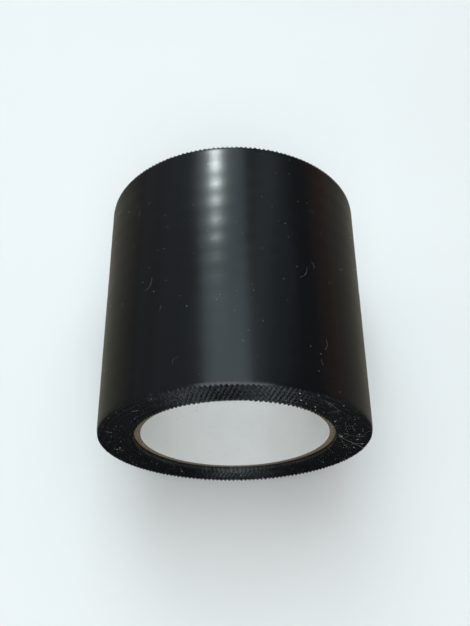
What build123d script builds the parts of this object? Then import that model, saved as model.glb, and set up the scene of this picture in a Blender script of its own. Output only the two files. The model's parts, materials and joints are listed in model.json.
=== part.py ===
from build123d import *
import math
import os

# A roll of black PVC electrical tape on a paperboard core, lying on its side.
# Millimetres. +Z is up, the roll's axis runs along Y at height axis_height, and the
# origin is on the resting surface, under the middle of the roll. Angles are measured
# about the roll's axis from +X towards +Z.

# Driving dimensions
roll_radius = 53.4
tape_width = 101.6
film_thickness = 0.19
rest_flat_width = 8.0        # the soft roll is pressed flat where it bears on the surface

core_outer_radius = 39.2
core_recess = 1.4            # the core stops short of the tape's edges at both ends
board_ply_thickness = 0.62
board_ply_count = 4
liner_thickness = 0.2

# The last stretch of the outer turn is the free end, which peels off the roll
peel_angle = -74.0           # where the free end leaves the roll
free_end_span = 60.0
free_end_pieces = 6
lift_clearance = 0.1         # between the free end and the turn below it
joint_gap = 0.08             # between two lengths of the free end

# Derived sizes
axis_height = math.sqrt(roll_radius**2 - (rest_flat_width / 2) ** 2)
core_length = tape_width - 2 * core_recess
under_turn_radius = roll_radius - film_thickness - lift_clearance
piece_span = free_end_span / free_end_pieces
tip_angle = peel_angle + free_end_span
board_outer_radii = [core_outer_radius - i * board_ply_thickness for i in range(board_ply_count)]
liner_outer_radius = core_outer_radius - board_ply_count * board_ply_thickness
bore_radius = liner_outer_radius - liner_thickness

# The outer turn's visible surface climbs from the turn below to the full radius
spiral_span = 360.0 - free_end_span
spiral_arcs = 10


def point(radius, angle):
    """A point of the cross-section, in its own plane: X across, Y up."""
    turn = math.radians(angle)
    return (radius * math.cos(turn), axis_height + radius * math.sin(turn))


def arc(radius_at, start, end):
    """An arc through the radii that radius_at gives at its start, middle and end."""
    angles = (start, (start + end) / 2, end)
    return ThreePointArc(*[point(radius_at(angle), angle) for angle in angles])


def spiral_radius(angle):
    """The outer turn's radius, from the tip of the free end round to the peel line."""
    climb = (angle - tip_angle) / spiral_span
    return under_turn_radius + climb * (roll_radius - under_turn_radius)


def along_axis(section, length):
    """A cross-section drawn in the XZ plane, stretched both ways along the axis."""
    return extrude(section, amount=length / 2, both=True)


def tube(outer_radius, inner_radius, length):
    ring = Circle(outer_radius) - Circle(inner_radius)
    return along_axis(Plane.XZ * Pos(0, axis_height) * ring, length)


def windings():
    """Every turn of tape that stays on the roll, as one ring with a spiral outside."""
    edges = [arc(lambda angle: under_turn_radius, peel_angle, tip_angle)]
    step = spiral_span / spiral_arcs
    for i in range(spiral_arcs):
        start = tip_angle + i * step
        edges.append(arc(spiral_radius, start, start + step))
    peel_step = Line(point(roll_radius, peel_angle), point(under_turn_radius, peel_angle))
    outline = make_face(edges + [peel_step])
    section = outline - Pos(0, axis_height) * Circle(core_outer_radius)
    ring = along_axis(Plane.XZ * section, tape_width)
    below_surface = Pos(0, 0, -roll_radius / 2) * Box(
        3 * roll_radius, 2 * tape_width, roll_radius
    )
    return ring - below_surface


def free_end_piece(index):
    """One length of the free end: a thin curved strip, as wide as the tape."""
    gap_angle = math.degrees(joint_gap / roll_radius)
    start = peel_angle + index * piece_span + gap_angle / 2
    end = start + piece_span - gap_angle
    inner_radius = roll_radius - film_thickness
    section = make_face(
        [
            arc(lambda angle: roll_radius, start, end),
            Line(point(roll_radius, end), point(inner_radius, end)),
            arc(lambda angle: inner_radius, start, end),
            Line(point(inner_radius, start), point(roll_radius, start)),
        ]
    )
    return along_axis(Plane.XZ * section, tape_width)


parts = {"tape_windings": windings()}
for i, outer_radius in enumerate(board_outer_radii, start=1):
    parts[f"core_board_ply_{i}"] = tube(
        outer_radius, outer_radius - board_ply_thickness, core_length
    )
parts["core_liner"] = tube(liner_outer_radius, bore_radius, core_length)
for i in range(free_end_pieces):
    parts[f"tape_end_{i + 1}"] = free_end_piece(i)

os.makedirs("parts", exist_ok=True)
for name, shape in parts.items():
    export_step(shape, f"parts/{name}.step")
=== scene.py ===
import json
import math

import bpy
import numpy as np
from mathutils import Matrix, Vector


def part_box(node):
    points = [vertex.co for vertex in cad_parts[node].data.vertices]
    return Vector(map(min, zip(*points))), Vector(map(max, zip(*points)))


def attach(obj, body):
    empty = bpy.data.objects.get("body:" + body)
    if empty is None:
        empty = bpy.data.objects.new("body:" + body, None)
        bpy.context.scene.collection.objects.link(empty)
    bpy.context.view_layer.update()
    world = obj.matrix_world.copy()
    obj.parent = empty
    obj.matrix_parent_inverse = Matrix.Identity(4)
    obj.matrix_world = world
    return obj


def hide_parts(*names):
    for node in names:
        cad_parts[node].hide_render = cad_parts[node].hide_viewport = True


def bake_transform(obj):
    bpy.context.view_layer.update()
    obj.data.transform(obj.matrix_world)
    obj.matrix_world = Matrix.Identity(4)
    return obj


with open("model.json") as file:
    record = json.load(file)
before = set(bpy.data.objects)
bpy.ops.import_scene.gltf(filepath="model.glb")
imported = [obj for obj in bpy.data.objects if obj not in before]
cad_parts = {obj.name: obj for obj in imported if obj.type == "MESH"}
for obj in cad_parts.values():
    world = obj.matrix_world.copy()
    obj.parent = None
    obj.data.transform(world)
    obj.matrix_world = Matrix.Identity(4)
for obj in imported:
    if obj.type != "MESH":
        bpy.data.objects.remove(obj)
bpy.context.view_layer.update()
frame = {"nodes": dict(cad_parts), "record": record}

# A roll of wide black PVC electrical tape on a paperboard core, lying on its side.
# Metres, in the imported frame: the roll's axis is along Y, +Z is up and the floor is z = 0.
# Angles are measured about the roll's axis from +X towards +Z.

MM = 0.001
random = np.random.default_rng(20)

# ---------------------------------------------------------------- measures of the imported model
record = frame["record"]
mounts = {mount["name"]: mount for mount in record["mounts"]}
hinges = record["behaviour"]["joints"]

AXIS_HEIGHT = mounts["core_bore"]["pos_m"][2]
BORE_RADIUS = mounts["core_bore"]["dims"]["r_mm"] * MM
HALF_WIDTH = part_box("tape_windings")[1].y
CORE_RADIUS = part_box("core_board_ply_1")[1].x


def hinge_polar(hinge):
    """A hinge's radius and angle about the roll's axis."""
    x, z = hinge["pos_m"][0], hinge["pos_m"][2] - AXIS_HEIGHT
    return math.hypot(x, z), math.atan2(z, x)


ROLL_RADIUS, PEEL_ANGLE = hinge_polar(hinges[0])
LINK_SPAN = hinge_polar(hinges[1])[1] - PEEL_ANGLE
FREE_SPAN = LINK_SPAN * len(hinges)

# ---------------------------------------------------------------- the tape
FULL_TURN = 2 * math.pi

# layers
FILM = 0.19 * MM                # the pitch of the layers
FILM_SOLID = 0.96               # share of that pitch that the film itself fills
LIFT = 0.10 * MM                # between the free end and the turn below it
REST_PACKING = 0.92             # how closely the layers pack above the flat that the roll rests on

# teeth
TOOTH_PITCH, TOOTH_DEPTH = 1.79 * MM, 0.60 * MM
TIP_REACH = 0.35 * MM           # how far the tips stand out of the tape's nominal edge
TOOTH_JITTER = 0.07 * MM
TOOTH_CORNERS = np.array([-0.10, 0.10, 0.32, 0.68])     # of the tip and the root, in shares of the pitch
TOOTH_CUTS = np.array([0, 0, 1, 1])                     # the share of the depth that is cut at each
GROUP_TURNS = 12                # the teeth of this many turns line up

# cut edges and shoulders
LIP_INWARD, LIP_DROP = 0.14 * MM, 0.042 * MM    # the rounded corners of the film's cut edge
INNER_LIP_DROP = 0.62 * LIP_DROP
SAG = 0.24 * MM                 # how far the outermost turn has sunk at the roll's ends
SAG_WIDTH, SAG_TURNS = 1.8 * MM, 8.0    # how far in it starts to sink, and over how many turns that fades

# rows of points across the outside, by their distance from the edge
CORNER_STEPS = np.array([0, 0.03]) * MM                 # behind the rounded corner
SHOULDER_STEPS = np.array([0.95, 1.2, 1.5, 1.8]) * MM
INNER_START, INNER_ROWS = 2.2 * MM, 72
TAPE_SHARP_ANGLE = 66           # edges sharper than this, in degrees, are shaded sharp

# how the turns stray sideways: in steps of many turns, in steps of a few turns, and within a turn
WANDER_DEPTH, DRIFT_DEPTH = 0.15 * MM, 0.02 * MM
STEP_SHARPNESS = 2.5
SHORT_STEP_TURNS, SHORT_STEP_SHARE = 3.7, 0.6

# the small unevenness of the end faces
RUMPLE_DEPTH = 0.05 * MM
RUMPLE_WAVES, RUMPLE_LENGTHS = 24, (1.6 * MM, 3.2 * MM)

# ripples round the outside, by length and depth
FINE_RIPPLE, BROAD_RIPPLE, SLOW_RIPPLE = 8.5 * MM, 23 * MM, 41 * MM
FINE_DEPTH, BROAD_DEPTH, SLOW_DEPTH = 0.016 * MM, 0.006 * MM, 0.010 * MM
FINE_SHIFT = 20.35 * MM         # the place along Y that the fine ones are counted from
RIPPLE_FADE = 3 * MM            # how far in from the roll's ends the ripples reach their full depth

# angles along the tape's spiral
TIP_TURN = PEEL_ANGLE + FREE_SPAN + FULL_TURN   # where the strip ends
UNDER_TURN = TIP_TURN - FULL_TURN               # a turn before that, under the strip's end
PEEL_TURN = TIP_TURN - FREE_SPAN                # where the free end starts
UNDER_RADIUS = ROLL_RADIUS - FILM - LIFT
CORE_TURN = UNDER_TURN - FULL_TURN * (UNDER_RADIUS - CORE_RADIUS - FILM) / FILM


def outer_radius(turned):
    """The outer radius of the wound tape at an angle along its spiral."""
    angles = (CORE_TURN, UNDER_TURN, PEEL_TURN, TIP_TURN)
    radii = (CORE_RADIUS + FILM, UNDER_RADIUS, ROLL_RADIUS, ROLL_RADIUS)
    return np.interp(turned, angles, radii)


def count_teeth(angles):
    """The number of teeth along the spiral up to each angle. Every turn of a group has the same number
    of teeth, so that they line up."""
    group_span = FULL_TURN * GROUP_TURNS
    groups = np.floor((angles - TIP_TURN) / group_span)
    middles = outer_radius(TIP_TURN + (groups + 0.5) * group_span)
    teeth_in_turn = np.round(FULL_TURN * middles / TOOTH_PITCH)
    return np.concatenate(([0.0], np.cumsum(teeth_in_turn[:-1] * np.diff(angles) / FULL_TURN)))


SPIRAL_ANGLES = np.linspace(CORE_TURN, TIP_TURN, 60000)
SPIRAL_TEETH = count_teeth(SPIRAL_ANGLES)


def small_waves():
    """Headings, lengths and phases of the waves that make up an end face's unevenness."""
    heading = random.uniform(0, FULL_TURN, RUMPLE_WAVES)
    wavelength = random.uniform(*RUMPLE_LENGTHS, RUMPLE_WAVES)
    phase = random.uniform(0, FULL_TURN, RUMPLE_WAVES)
    return heading, wavelength, phase


NEAR_WAVES, FAR_WAVES = small_waves(), small_waves()


def wander(turned):
    """How far the tape strays sideways as it was wound, in steps of a few turns and less."""
    turns = (turned - TIP_TURN) / FULL_TURN
    long_steps = np.tanh(STEP_SHARPNESS * np.sin(FULL_TURN * turns / GROUP_TURNS))
    short_steps = SHORT_STEP_SHARE * np.sin(FULL_TURN * turns / SHORT_STEP_TURNS)
    drift = np.sin(2.3 * turned + 1.0) + 0.7 * np.sin(6.1 * turned + 2.0)
    return WANDER_DEPTH * (long_steps + short_steps) + DRIFT_DEPTH * drift


def rumple(turned, waves):
    """An unevenness of an end face that neighbouring turns share: many small waves across it."""
    radius = outer_radius(turned)[:, None]
    x, z = radius * np.cos(turned[:, None]), radius * np.sin(turned[:, None])
    heading, wavelength, phase = waves
    along = x * np.cos(heading) + z * np.sin(heading)
    heights = np.cos(FULL_TURN * along / wavelength + phase)
    return RUMPLE_DEPTH * math.sqrt(2 / RUMPLE_WAVES) * heights.sum(axis=1)


def tooth_corners(start, end):
    """Angles along the spiral of the teeth's corners, and the share of the depth that is cut at each."""
    first, last = np.interp((start, end), SPIRAL_ANGLES, SPIRAL_TEETH)
    teeth = np.arange(math.floor(first) - 2, math.ceil(last) + 3)
    corners = (teeth[:, None] + TOOTH_CORNERS).ravel()
    inside = (corners > first) & (corners < last)
    counts = np.concatenate(([first], corners[inside], [last]))
    cuts = np.interp(counts, corners, np.tile(TOOTH_CUTS, len(teeth)))
    return np.interp(counts, SPIRAL_TEETH, SPIRAL_ANGLES), cuts


def edge_places(turned, cut):
    """Where the two pinked edges of the tape lie along Y, at angles along its spiral."""
    jitter = TOOTH_JITTER * np.abs(random.standard_normal((2, len(turned))))
    jitter[:, [0, -1]] = 0
    near_inset, far_inset = TOOTH_DEPTH * cut - TIP_REACH + jitter
    near = -HALF_WIDTH + near_inset + wander(turned) + rumple(turned, NEAR_WAVES)
    far = HALF_WIDTH - far_inset + wander(turned) + rumple(turned, FAR_WAVES)
    return near, far


def place(radius, angle, y):
    """Points about the roll's axis, pressed flat where the roll rests on the floor."""
    x = radius * np.cos(angle)
    z = AXIS_HEIGHT + radius * np.sin(angle)
    z = np.maximum(z, (ROLL_RADIUS - radius) * REST_PACKING)
    return np.stack(np.broadcast_arrays(x, y, z), axis=-1)


def swell(angle, y):
    """The shallow ripples that run round the outside of the roll, never above its radius. The fine
    ones are deeper towards the back."""
    fine = np.sin(FULL_TURN * (y - FINE_SHIFT) / FINE_RIPPLE + 0.5 * np.sin(2 * angle + 2.8))
    broad = np.sin(FULL_TURN * y / BROAD_RIPPLE + 0.8 * np.sin(angle + 1.0))
    slow = np.sin(FULL_TURN * y / SLOW_RIPPLE + angle)
    fine_share = 0.8 + 0.5 * np.tanh((y + 5 * MM) / (14 * MM))
    fade = np.clip((HALF_WIDTH - np.abs(y)) / RIPPLE_FADE, 0, 1)
    return fade * (
        FINE_DEPTH * fine_share * (fine - 1) + BROAD_DEPTH * (broad - 1) + SLOW_DEPTH * (slow - 1)
    )


# ---------------------------------------------------------------- meshes
def signed_volume(points, quads):
    """Six times the volume inside the quads, negative where they face inwards."""
    a, b, c, d = (points[quads[:, i]] for i in range(4))
    return np.sum(np.einsum("ij,ij->i", a, np.cross(b, c) + np.cross(c, d)))


def sweep(name, sections, materials, columns=None, looped=False, sharp_angle=30):
    """A closed skin through a row of sections, each a ring of the same number of points.
    columns gives the material's index for each strip of the skin that runs along the row."""
    count, around = sections.shape[:2]
    index = np.arange(count * around).reshape(count, around)
    here = index if looped else index[:-1]
    after = np.roll(index, -1, axis=0) if looped else index[1:]
    quads = np.stack([here, np.roll(here, -1, 1), np.roll(after, -1, 1), after], axis=-1).reshape(-1, 4)
    points = sections.reshape(-1, 3)
    inside_out = signed_volume(points, quads) < 0
    faces = (quads[:, ::-1] if inside_out else quads).tolist()
    if not looped:
        caps = [index[0][::-1].tolist(), index[-1].tolist()]
        faces += [cap[::-1] for cap in caps] if inside_out else caps
    mesh = bpy.data.meshes.new(name)
    mesh.from_pydata(points, [], faces)
    for material in materials:
        mesh.materials.append(material)
    if columns is not None:
        slots = np.zeros(len(faces), dtype=np.int32)
        slots[:len(quads)] = np.tile(columns, len(here))
        mesh.polygons.foreach_set("material_index", slots)
    mesh.shade_smooth()
    mesh.set_sharp_from_angle(angle=math.radians(sharp_angle))
    mesh.update()
    piece = bpy.data.objects.new(name, mesh)
    bpy.context.scene.collection.objects.link(piece)
    return piece


def join(name, pieces):
    """One object made of several."""
    with bpy.context.temp_override(active_object=pieces[0], selected_editable_objects=pieces):
        bpy.ops.object.join()
    pieces[0].name = name
    return pieces[0]


# ---------------------------------------------------------------- materials
def new_material(name, **settings):
    """A material with one Principled shader, and its node tree."""
    material = bpy.data.materials.new(name)
    material.use_nodes = True
    tree = material.node_tree
    shader = tree.nodes["Principled BSDF"]
    for socket, value in settings.items():
        shader.inputs[socket.replace("_", " ")].default_value = value
    return material, tree, shader


def add_node(tree, kind, options=None, **inputs):
    """A node with its options and its input values set."""
    made = tree.nodes.new(kind)
    for option, value in (options or {}).items():
        setattr(made, option, value)
    for socket, value in inputs.items():
        made.inputs[socket.replace("_", " ")].default_value = value
    return made


def object_coordinates(tree, scale=(1, 1, 1)):
    """The place on the object, stretched."""
    coordinates = add_node(tree, "ShaderNodeTexCoord")
    mapping = add_node(tree, "ShaderNodeMapping", Scale=scale)
    tree.links.new(coordinates.outputs["Object"], mapping.inputs["Vector"])
    return mapping.outputs["Vector"]


def noise(tree, scale=(1, 1, 1), **inputs):
    """A noise over the object, from 0 to 1."""
    texture = add_node(tree, "ShaderNodeTexNoise", **inputs)
    tree.links.new(object_coordinates(tree, scale), texture.inputs["Vector"])
    return texture.outputs["Fac"]


def remap(tree, value, low, high, to_low, to_high):
    """A value mapped from one range to another, held inside it."""
    ramp = add_node(tree, "ShaderNodeMapRange", To_Min=to_low, To_Max=to_high, From_Min=low, From_Max=high)
    tree.links.new(value, ramp.inputs["Value"])
    return ramp.outputs["Result"]


def blend_colours(tree, factor, first, second):
    """One colour turning into another."""
    mix = add_node(tree, "ShaderNodeMix", {"data_type": "RGBA"})
    for socket, colour in ((mix.inputs[6], first), (mix.inputs[7], second)):
        if isinstance(colour, tuple):
            socket.default_value = (*colour, 1)
        else:
            tree.links.new(colour, socket)
    tree.links.new(factor, mix.inputs[0])
    return mix.outputs[2]


def bump(tree, shader, layers):
    """Relief from several heights, each given with its depth."""
    below = None
    for height, depth in layers:
        relief = add_node(tree, "ShaderNodeBump", Strength=1.0, Distance=depth)
        tree.links.new(height, relief.inputs["Height"])
        if below:
            tree.links.new(below, relief.inputs["Normal"])
        below = relief.outputs["Normal"]
    tree.links.new(below, shader.inputs["Normal"])


def specks(tree, scale, size):
    """Sparse small dots, 1 inside and 0 outside."""
    dots = add_node(tree, "ShaderNodeTexVoronoi", Scale=scale, Randomness=1.0)
    tree.links.new(object_coordinates(tree), dots.inputs["Vector"])
    near_dot = remap(tree, dots.outputs["Distance"], size * 0.6, size, 1, 0)
    patches = remap(tree, noise(tree, Scale=70, Detail=2), 0.52, 0.62, 0, 1)
    both = add_node(tree, "ShaderNodeMath", {"operation": "MULTIPLY"})
    tree.links.new(near_dot, both.inputs[0])
    tree.links.new(patches, both.inputs[1])
    return both.outputs["Value"]


def tape_film():
    """The satin black PVC of the tape's outside, with fine bands round the roll."""
    material, tree, shader = new_material("pvc_film", Specular_IOR_Level=0.2, IOR=1.5)
    smears = noise(tree, (14, 60, 14), Scale=1.0, Detail=4)
    fine_bands = noise(tree, (6, 1500, 6), Scale=1.0, Detail=2)
    soft_bands = noise(tree, (5, 260, 5), Scale=1.0, Detail=3)
    peel = noise(tree, Scale=900, Detail=2)
    tree.links.new(remap(tree, smears, 0.3, 0.7, 0.19, 0.25), shader.inputs["Roughness"])
    film = blend_colours(tree, soft_bands, (0.0026, 0.0032, 0.0038), (0.0038, 0.0046, 0.0054))
    dusty = blend_colours(tree, specks(tree, 260, 0.06), film, (0.16, 0.16, 0.15))
    tree.links.new(dusty, shader.inputs["Base Color"])
    bump(tree, shader, ((soft_bands, 0.02 * MM), (fine_bands, 0.003 * MM), (peel, 0.004 * MM)))
    return material


def dust_and_painted_glints(tree, colour):
    """A colour with a fine, hard-edged grain of bluish grey over it: partly dust, and partly painted glints
    that stand in for the light the teeth catch.
    """
    # painted glints: the bluish grain is partly dust and partly the teeth's glints painted into the colour
    dust_and_glint_grains = remap(tree, noise(tree, Scale=1000, Detail=1), 0.65, 0.70, 0, 1)
    return blend_colours(tree, dust_and_glint_grains, colour, (0.042, 0.048, 0.054))


def tape_cut():
    """The dull cut face of the film, with dust caught in its teeth and a fine grain that is partly dust and
    partly painted glints.
    """
    material, tree, shader = new_material("pvc_cut_face", Specular_IOR_Level=0.06)
    grain = noise(tree, Scale=1500, Detail=3)
    grime = noise(tree, Scale=120, Detail=4)
    tree.links.new(remap(tree, grime, 0.3, 0.7, 0.55, 0.75), shader.inputs["Roughness"])
    cut = blend_colours(tree, grime, (0.0095, 0.0102, 0.0106), (0.0185, 0.0195, 0.0200))
    # the grain over the cut colour is partly grey dust and partly painted glints of the teeth
    dusty = blend_colours(tree, specks(tree, 420, 0.10), dust_and_painted_glints(tree, cut), (0.20, 0.20, 0.19))
    tree.links.new(dusty, shader.inputs["Base Color"])
    bump(tree, shader, ((grain, 0.01 * MM),))
    return material


def tape_lip():
    """The rounded, shinier corners of the cut edge."""
    material, tree, shader = new_material("pvc_lip", Specular_IOR_Level=0.45)
    grain = noise(tree, Scale=900, Detail=3)
    tree.links.new(remap(tree, grain, 0.3, 0.7, 0.12, 0.26), shader.inputs["Roughness"])
    lip = blend_colours(tree, grain, (0.003, 0.004, 0.005), (0.007, 0.009, 0.011))
    # the grain over the lip colour is partly grey dust and partly painted glints of the teeth
    tree.links.new(dust_and_painted_glints(tree, lip), shader.inputs["Base Color"])
    bump(tree, shader, ((grain, 0.03 * MM),))
    return material


def tape_adhesive():
    """The glossy black adhesive on the tape's inside."""
    material, tree, shader = new_material("rubber_adhesive", Specular_IOR_Level=0.5, IOR=1.5)
    pull = noise(tree, (40, 900, 40), Scale=1.0, Detail=3)
    blotches = noise(tree, Scale=260, Detail=3)
    tree.links.new(remap(tree, blotches, 0.35, 0.65, 0.14, 0.30), shader.inputs["Roughness"])
    colour = blend_colours(tree, blotches, (0.006, 0.006, 0.006), (0.012, 0.0115, 0.011))
    tree.links.new(colour, shader.inputs["Base Color"])
    bump(tree, shader, ((pull, 0.012 * MM), (blotches, 0.02 * MM)))
    return material


def paperboard():
    """Brown-grey recycled board, with fibres in it."""
    material, tree, shader = new_material("kraft_board", Specular_IOR_Level=0.2)
    fibres = noise(tree, (500, 1600, 500), Scale=1.0, Detail=5)
    blotches = noise(tree, Scale=180, Detail=3)
    tree.links.new(remap(tree, blotches, 0.3, 0.7, 0.75, 0.95), shader.inputs["Roughness"])
    base = blend_colours(tree, blotches, (0.16, 0.115, 0.070), (0.25, 0.19, 0.13))
    flecked = remap(tree, fibres, 0.56, 0.72, 0, 0.7)
    colour = blend_colours(tree, flecked, base, (0.44, 0.37, 0.28))
    tree.links.new(colour, shader.inputs["Base Color"])
    bump(tree, shader, ((fibres, 0.05 * MM),))
    return material


def liner_paper():
    """White lining paper, a little mottled."""
    material, tree, shader = new_material("lining_paper", Specular_IOR_Level=0.3)
    fibres = noise(tree, (700, 700, 700), Scale=1.0, Detail=5)
    mottle = noise(tree, Scale=60, Detail=4)
    tree.links.new(remap(tree, mottle, 0.3, 0.7, 0.55, 0.75), shader.inputs["Roughness"])
    base = blend_colours(tree, mottle, (0.80, 0.79, 0.76), (0.90, 0.89, 0.87))
    flecked = remap(tree, fibres, 0.62, 0.75, 0, 0.35)
    colour = blend_colours(tree, flecked, base, (0.62, 0.58, 0.52))
    tree.links.new(colour, shader.inputs["Base Color"])
    bump(tree, shader, ((fibres, 0.02 * MM),))
    return material


def lint():
    """Off-white paper dust and fibres."""
    material, tree, shader = new_material("paper_lint", Specular_IOR_Level=0.2, Roughness=0.8)
    tint = noise(tree, Scale=300, Detail=1)
    colour = blend_colours(tree, tint, (0.50, 0.48, 0.44), (0.78, 0.78, 0.76))
    tree.links.new(colour, shader.inputs["Base Color"])
    return material


def ground_finish(name, first, second):
    """A matt ground, a little mottled."""
    material, tree, shader = new_material(name, Specular_IOR_Level=0.25)
    mottle = noise(tree, Scale=9, Detail=4)
    tree.links.new(remap(tree, mottle, 0.3, 0.7, 0.6, 0.7), shader.inputs["Roughness"])
    tree.links.new(blend_colours(tree, mottle, first, second), shader.inputs["Base Color"])
    return material


TAPE_FINISHES = (tape_film(), tape_cut(), tape_adhesive(), tape_lip())
BOARD_FINISH, LINER_FINISH, LINT_FINISH = paperboard(), liner_paper(), lint()


# ---------------------------------------------------------------- tape pieces
def row_places(near, far, visible):
    """Places along Y from one edge to the other, at each section: close together at the edges."""
    corner = LIP_INWARD + CORNER_STEPS
    middle = np.empty(0)
    if visible:
        shoulder = HALF_WIDTH - SHOULDER_STEPS
        reach = HALF_WIDTH - INNER_START
        middle = np.concatenate([-shoulder, np.linspace(-reach, reach, INNER_ROWS), shoulder[::-1]])
    middle = np.broadcast_to(middle, (len(near), len(middle)))
    return np.concatenate([near[:, None] + corner, middle, far[:, None] - corner[::-1]], axis=1)


def sag(turned, y):
    """How far the tape has sunk near the roll's ends, at angles along its spiral and places along Y."""
    deepest = SAG * np.exp((turned - TIP_TURN) / (FULL_TURN * SAG_TURNS))
    return deepest * np.maximum(1 - (HALF_WIDTH - np.abs(y)) / SAG_WIDTH, 0) ** 2


def tape_span(name, start, end, visible=False):
    """A stretch of the wound tape between two angles along its spiral. Where its outside is visible,
    it has rows of points all the way across."""
    turned, cuts = tooth_corners(start, end)
    near, far = edge_places(turned, cuts)
    rows = row_places(near, far, visible)
    shoulder_row = 1 + len(SHOULDER_STEPS)
    inside_rows = rows[:, [-1, -1 - shoulder_row, shoulder_row, 0] if visible else [-1, 0]]
    near, far, turned = near[:, None], far[:, None], turned[:, None]
    outer = outer_radius(turned)
    inner = outer - FILM * FILM_SOLID
    corners = (
        (inner + INNER_LIP_DROP, near), (outer - LIP_DROP, near),
        (outer - LIP_DROP, far), (inner + INNER_LIP_DROP, far),
    )
    edges = [place(radius - sag(turned, edge), turned, edge) for radius, edge in corners]
    inside = place(inner - sag(turned, inside_rows), turned, inside_rows)
    relief = swell(turned, rows) if visible else 0
    outside = place(outer + relief - sag(turned, rows), turned, rows)
    sections = np.concatenate([inside, *edges[:2], outside, *edges[2:]], axis=1)
    film, cut, adhesive, lip = range(4)
    columns = [adhesive] * (inside_rows.shape[1] - 1) + [lip, cut, lip]
    columns += [film] * (rows.shape[1] - 1) + [lip, cut, lip]
    return sweep(name, sections, TAPE_FINISHES, columns, sharp_angle=TAPE_SHARP_ANGLE)


def build_windings():
    """The turns whose outside stays hidden, in several stretches, and the outermost turn."""
    stretches, margin = 6, math.radians(15)
    outer_start = UNDER_TURN - FREE_SPAN - margin
    outer_end = PEEL_TURN - LINK_SPAN / 2
    stops = np.linspace(CORE_TURN, outer_start, stretches + 1)
    pieces = [
        tape_span(f"tape_turns_{i + 1}", start, end)
        for i, (start, end) in enumerate(zip(stops[:-1], stops[1:]))
    ]
    pieces.append(tape_span("tape_outer_turn", outer_start, outer_end, visible=True))
    for piece in pieces:
        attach(piece, "roll")
        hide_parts("tape_windings")


def hinge_side(turned):
    """A place on the tape's outside at an angle along its spiral, in the middle of its width."""
    return Vector(place(outer_radius(turned), turned, 0.0))


def build_free_end():
    """The free end: stretches that each span one hinge, and the last bit at the tip."""
    names = ["roll"] + [hinge["child"] for hinge in hinges]
    for i, (before, after) in enumerate(zip(names[:-1], names[1:])):
        start = PEEL_TURN + (i - 0.5) * LINK_SPAN
        end = start + LINK_SPAN
        piece = tape_span(f"free_end_{i + 1}", start, end, visible=True)
        hinge_side(start)
        hinge_side(end)
        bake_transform(piece)
        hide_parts(after)
    tip = tape_span("free_end_tip", TIP_TURN - LINK_SPAN / 2, TIP_TURN, visible=True)
    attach(tip, names[-1])
    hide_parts(names[-1])


# ---------------------------------------------------------------- the core
def ring_points(radius, angle, y):
    """Points about the roll's axis: a row of them along Y at each angle."""
    x = radius * np.cos(angle)[:, None]
    z = AXIS_HEIGHT + radius * np.sin(angle)[:, None]
    return np.stack(np.broadcast_arrays(x, y, z), axis=-1)


def core_ply(node, inner_radius):
    """One ply of the board tube: a ring whose cut ends are crowned and a little ragged."""
    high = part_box(node)[1]
    sections_around, waves_around, roughness = 720, 7, 0.03 * MM
    angle = np.linspace(0, FULL_TURN, sections_around, endpoint=False)
    across = np.array([0, 0.15, 0.5, 0.85, 1])
    crown = np.array([0.14, 0.03, 0, 0.03, 0.14]) * MM
    radii = inner_radius + across * (high.x - inner_radius)
    rings = []
    for side, order in ((-1, slice(None)), (1, slice(None, None, -1))):
        ragged = np.abs(random.standard_normal((sections_around, len(across)))) * roughness
        waves = roughness * (1 + np.sin(angle * waves_around + random.uniform(0, 6)))
        y = side * (high.y - crown - ragged - waves[:, None])
        rings.append(ring_points(radii, angle, y)[:, order])
    sections = np.concatenate(rings, axis=1)
    piece = sweep(node + "_visual", sections, (BOARD_FINISH,), looped=True, sharp_angle=60)
    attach(piece, "roll")
    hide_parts(node)


def core_liner(outer):
    """The lining paper: a ribbon wound helically, with a narrow seam between its edges."""
    half_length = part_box("core_liner")[1].y
    lead, seam, seam_angle = 150 * MM, 0.35 * MM, 2.2
    clearance, end_gap = 0.01 * MM, 0.005       # under the board, and at the ribbon's ends in turns
    sections_along, rows_across = 640, 9
    turned = np.linspace(end_gap - 1, 2 * half_length / lead - end_gap, sections_along)
    low = np.clip(-half_length + lead * turned, -half_length, half_length)
    high = np.clip(-half_length + lead * (turned + 1) - seam, -half_length, half_length)
    y = low[:, None] + (high - low)[:, None] * np.linspace(0, 1, rows_across)
    angle = FULL_TURN * turned + seam_angle
    outside, inside = (ring_points(radius, angle, y) for radius in (outer - clearance, BORE_RADIUS))
    sections = np.concatenate([outside, inside[:, ::-1]], axis=1)
    piece = sweep("core_liner_visual", sections, (LINER_FINISH,))
    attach(piece, "roll")
    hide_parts("core_liner")


def build_core():
    """The plies of the board tube, and the lining paper inside it."""
    plies = sorted(name for name in frame["nodes"] if name.startswith("core_board_ply"))
    outers = [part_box(name)[1].x for name in plies + ["core_liner"]]
    for name, inner in zip(plies, outers[1:]):
        core_ply(name, inner)
    core_liner(outers[-1])


# ---------------------------------------------------------------- dust and lint
FLOOR_CLEARANCE = 0.1 * MM
SPECKS_OUTSIDE, FIBRES_OUTSIDE = 170, 12
SPECKS_ON_FACE, FIBRES_ON_FACE = 150, 18
CROWD_ANGLE, CROWD_SPREAD = 0.3, 0.45   # where the lint crowds on the end faces, in radians from +X

# The fibres that stand out, in degrees and mm. On the front face: angle, radius, length, heading, bend
# and thickness.
FRONT_HAIRS = (
    (6, 39.8, 19.5, -58, 8, 0.026), (25, 44.8, 12.5, -108, 0, 0.013), (9, 42.6, 9.5, -62, 55, 0.013),
    (-8, 46.0, 6.5, 59, -75, 0.016), (52, 49.4, 15.0, -86, -45, 0.012), (167, 50.6, 3.5, 153, 10, 0.02),
    (-170, 49.3, 5.0, 141, 10, 0.02), (140, 47.8, 3.0, -125, 10, 0.02), (8, 40.0, 7.0, -85, 10, 0.014),
)
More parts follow.
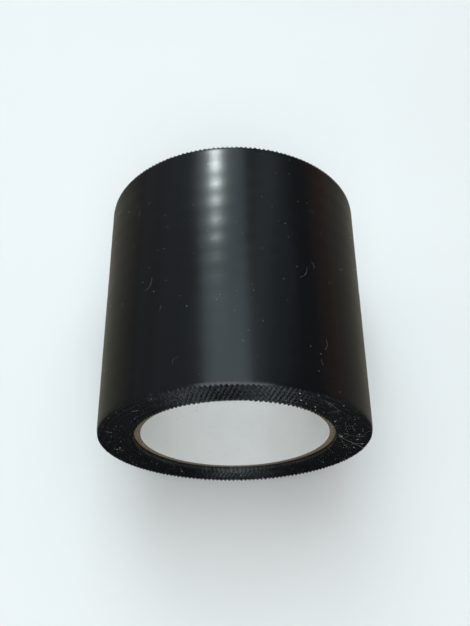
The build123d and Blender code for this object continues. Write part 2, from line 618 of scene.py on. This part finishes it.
# On the outside: angle, place along Y, length, heading and bend.
OUTSIDE_HAIRS = (
    (57, 2.0, 3.2, 200, 70), (60, -2.0, 5.5, 260, 60),
    (128, -8.0, 7.0, 200, -90), (52, -29.0, 5.0, 250, 90),
)


def frame_at(kind, angle, across):
    """A point on the roll's outside or on its front or back face, with its outward direction and two
    sideways ones. across is the place along Y on the outside, and the radius on a face."""
    radial = np.array([math.cos(angle), 0, math.sin(angle)])
    tangent = np.array([-math.sin(angle), 0, math.cos(angle)])
    along = np.array([0, 1.0, 0])
    centre = np.array([0, 0, AXIS_HEIGHT])
    if kind == "outside":
        surface = outer_radius(UNDER_TURN + (angle - UNDER_TURN) % FULL_TURN)
        return centre + radial * surface + along * across, radial, tangent, along
    side = -1.0 if kind == "front" else 1.0
    return centre + radial * across + along * side * (HALF_WIDTH + TIP_REACH), along * side, radial, tangent


def speck(size, spot):
    """A crumb of dust: a small lumpy closed form."""
    point, out, side, other = spot
    rings, corners, flatness = 5, 6, 0.7
    turn = np.linspace(0, FULL_TURN, corners, endpoint=False)
    ring = np.cos(turn)[:, None] * side + np.sin(turn)[:, None] * other
    sections = []
    for level in np.linspace(-0.9, 0.9, rings):
        girth = size * math.sqrt(1 - level * level) * random.uniform(0.6, 1.2, corners)
        middle = point + out * size * flatness * (level + 0.8)
        sections.append(middle + girth[:, None] * ring)
    return sweep("speck", np.array(sections), (LINT_FINISH,))


def hair(spot, length, thickness, heading, bend, wobble=0.15):
    """A fibre lying on the surface: a thin tube that turns by bend along its length and wobbles. It is
    tapered at both ends, humped in the middle and kept clear of the floor."""
    point, out, side, other = spot
    steps, corners, rise = 16, 5, 0.1 * MM
    path = [point]
    for _ in range(steps):
        heading += bend / steps + wobble * random.uniform(-1, 1)
        path.append(path[-1] + (side * math.cos(heading) + other * math.sin(heading)) * length / steps)
    path = np.array(path)
    ahead = np.gradient(path, axis=0)
    ahead /= np.linalg.norm(ahead, axis=1)[:, None]
    across = np.cross(ahead, out)
    turn = np.linspace(0, FULL_TURN, corners, endpoint=False)
    girth = thickness * np.interp(np.arange(steps + 1), (0, 1, steps - 1, steps), (0.4, 1, 1, 0.4))
    ring = np.cos(turn)[None, :, None] * across[:, None] + np.sin(turn)[None, :, None] * out
    hump = 1.2 * thickness + rise * np.sin(np.linspace(0, np.pi, steps + 1)) * random.uniform(0, 1)
    sections = (path + hump[:, None] * out)[:, None] + girth[:, None, None] * ring
    sections[..., 2] = np.maximum(sections[..., 2], FLOOR_CLEARANCE)
    return sweep("hair", sections, (LINT_FINISH,))


def lint_angle(crowd_share):
    """An angle round an end face: part of the lint crowds on the +X side, the rest is anywhere."""
    crowded = random.random() < crowd_share
    return random.normal(CROWD_ANGLE, CROWD_SPREAD) if crowded else random.uniform(0, FULL_TURN)


def outside_spot(reach):
    """A chance place on the outside, clear of the free end and of the floor."""
    first, last = math.radians(-12), math.radians(260)
    return frame_at("outside", random.uniform(first, last), random.uniform(-reach, reach) * HALF_WIDTH)


def face_spot(face, crowd_share, inner_margin, outer_margin):
    """A chance place on an end face, between margins from the core and from the rim."""
    angle = lint_angle(crowd_share)
    return frame_at(face, angle, random.uniform(CORE_RADIUS + inner_margin, ROLL_RADIUS - outer_margin))


def face_speck_size():
    """A speck is mostly small, and now and then large."""
    sizes = [random.uniform(0.05, 0.13), random.uniform(0.16, 0.27)]
    return random.choice(sizes, p=[0.85, 0.15]) * MM


def placed_hair(kind, measures, thickness, wobble):
    """A fibre given by its angle, place, length, heading and bend, in degrees and mm."""
    angle, across, length, heading, bend = measures
    spot = frame_at(kind, math.radians(angle), across * MM)
    return hair(spot, length * MM, thickness * MM, math.radians(heading), math.radians(bend), wobble)


def build_lint():
    """Dust specks and fibres, thickest on the +X side of the end faces."""
    bits = []
    for _ in range(SPECKS_OUTSIDE):
        spot = outside_spot(0.95)
        bits.append(speck(random.uniform(0.04, 0.11) * MM, spot))
    for measures in OUTSIDE_HAIRS:
        bits.append(placed_hair("outside", measures, 0.009, 0.45))
    for _ in range(FIBRES_OUTSIDE):
        spot = outside_spot(0.9)
        bits.append(hair(spot, random.uniform(1.5, 4) * MM, 0.008 * MM, *random.uniform(-3, 3, 2), 0.3))
    for *measures, thickness in FRONT_HAIRS:
        bits.append(placed_hair("front", measures, thickness, 0.05))
    for face in ("front", "back"):
        for _ in range(SPECKS_ON_FACE):
            spot = face_spot(face, 0.45, MM, MM)
            bits.append(speck(face_speck_size(), spot))
        for _ in range(FIBRES_ON_FACE):
            spot = face_spot(face, 0.75, 2 * MM, 3 * MM)
            bits.append(hair(spot, random.uniform(2, 6) * MM, 0.009 * MM, *random.uniform(-3, 3, 2)))
    piece = join("dust_and_lint", bits)
    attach(piece, "roll")


# ---------------------------------------------------------------- floor, lights, camera
def ground(name, height, finish):
    """A large flat ground."""
    reach = 6.0
    mesh = bpy.data.meshes.new(name)
    corners = [(x * reach, y * reach, height) for x, y in ((-1, -1), (1, -1), (1, 1), (-1, 1))]
    mesh.from_pydata(corners, [], [(0, 1, 2, 3)])
    mesh.materials.append(finish)
    plane = bpy.data.objects.new(name, mesh)
    bpy.context.scene.collection.objects.link(plane)
    return plane


def build_floor():
    """A large pale floor, and the browner table that the tape's gloss reflects in its place."""
    pale = ground_finish("pale_floor", (0.84, 0.82, 0.79), (0.87, 0.85, 0.82))
    brown = ground_finish("table_top", (0.255, 0.215, 0.160), (0.275, 0.235, 0.175))
    floor = ground("floor", 0.0, pale)
    floor.visible_glossy = False
    table = ground("table", 0.05 * MM, brown)
    table.visible_camera = table.visible_diffuse = table.visible_shadow = table.visible_transmission = False


def add_light(name, direction, distance, size, power, colour, rays=("diffuse", "glossy")):
    """A rectangular area light that faces the top of the roll from a direction and a distance. rays
    names the kinds of light that it gives."""
    lamp = bpy.data.lights.new(name, "AREA")
    lamp.shape = "RECTANGLE"
    lamp.size, lamp.size_y = size
    lamp.energy = power
    lamp.color = colour
    holder = bpy.data.objects.new(name, lamp)
    away = Vector(direction).normalized()
    holder.location = Vector((0, 0, 2 * AXIS_HEIGHT)) + away * distance
    holder.rotation_euler = away.to_track_quat("Z", "Y").to_euler()
    holder.visible_camera = False
    holder.visible_diffuse = "diffuse" in rays
    holder.visible_glossy = "glossy" in rays
    bpy.context.scene.collection.objects.link(holder)


def build_lights():
    """A lamp, soft panels and hazes behind the roll, broad lights above it, a fill from the front and a
    faint warm strip beside it, in a dim room."""
    add_light("lamp", (-0.30, 1.0, 1.0), 1.6, (0.15, 0.20), 12, (0.88, 1.0, 0.97), rays=("glossy",))
    add_light("panel", (-0.12, 0.55, 1.0), 1.7, (1.02, 1.6), 13.5, (0.70, 0.90, 1.0))
    add_light("panel_top", (-0.12, 0.36, 1.0), 1.7, (1.02, 0.48), 2.3, (0.70, 0.90, 1.0), rays=("glossy",))
    add_light("glow", (-0.85, 0.65, 1.0), 1.9, (4.0, 1.6), 9, (0.86, 0.94, 1.0))
    add_light("near_haze", (0.35, 0.56, 1.0), 1.7, (0.42, 1.6), 1.15, (0.80, 0.92, 1.0))
    add_light("far_haze", (0.50, 0.56, 1.0), 1.7, (0.85, 1.6), 1.8, (0.80, 0.92, 1.0))
    add_light("overhead", (-0.01, -0.12, 1.0), 1.6, (1.8, 0.72), 31, (0.80, 0.93, 1.0), rays=("glossy",))
    add_light("ceiling", (0.0, 0.1, 1.0), 1.8, (2.2, 2.2), 11, (0.99, 0.98, 0.97), rays=("diffuse",))
    add_light("horizon", (-1.0, 0.85, 0.22), 1.9, (3.0, 0.75), 1.6, (0.95, 0.98, 1.0))
    add_light("fill", (0.03, -1.0, 1.2), 1.8, (1.0, 1.0), 16, (0.86, 0.95, 1.0))
    add_light("warm_strip", (0.80, 0.59, 0.0), 0.6, (0.9, 0.21), 0.12, (1.0, 0.40, 0.24))
    world = bpy.data.worlds.new("room")
    bpy.context.scene.world = world
    world.use_nodes = True
    background = world.node_tree.nodes["Background"]
    background.inputs["Color"].default_value = (0.95, 0.97, 1.0, 1)
    background.inputs["Strength"].default_value = 0.12


def build_camera():
    """The camera, above the front of the roll and looking steeply down at it."""
    offset = Vector((-0.0198, -1.9443, 5.399))      # from the middle of the front face, in roll radii
    tilt, turn = math.radians(29.04), math.radians(-0.57)
    data = bpy.data.cameras.new("camera")
    data.sensor_width = 36
    data.lens = 44.7
    camera = bpy.data.objects.new("camera", data)
    camera.location = Vector((0, -HALF_WIDTH, AXIS_HEIGHT)) + ROLL_RADIUS * offset
    camera.rotation_euler = (tilt, 0, turn)
    bpy.context.scene.collection.objects.link(camera)
    bpy.context.scene.camera = camera


build_windings()
build_free_end()
build_core()
build_lint()
build_floor()
build_lights()
build_camera()
bpy.context.scene.view_settings.view_transform = "Standard"
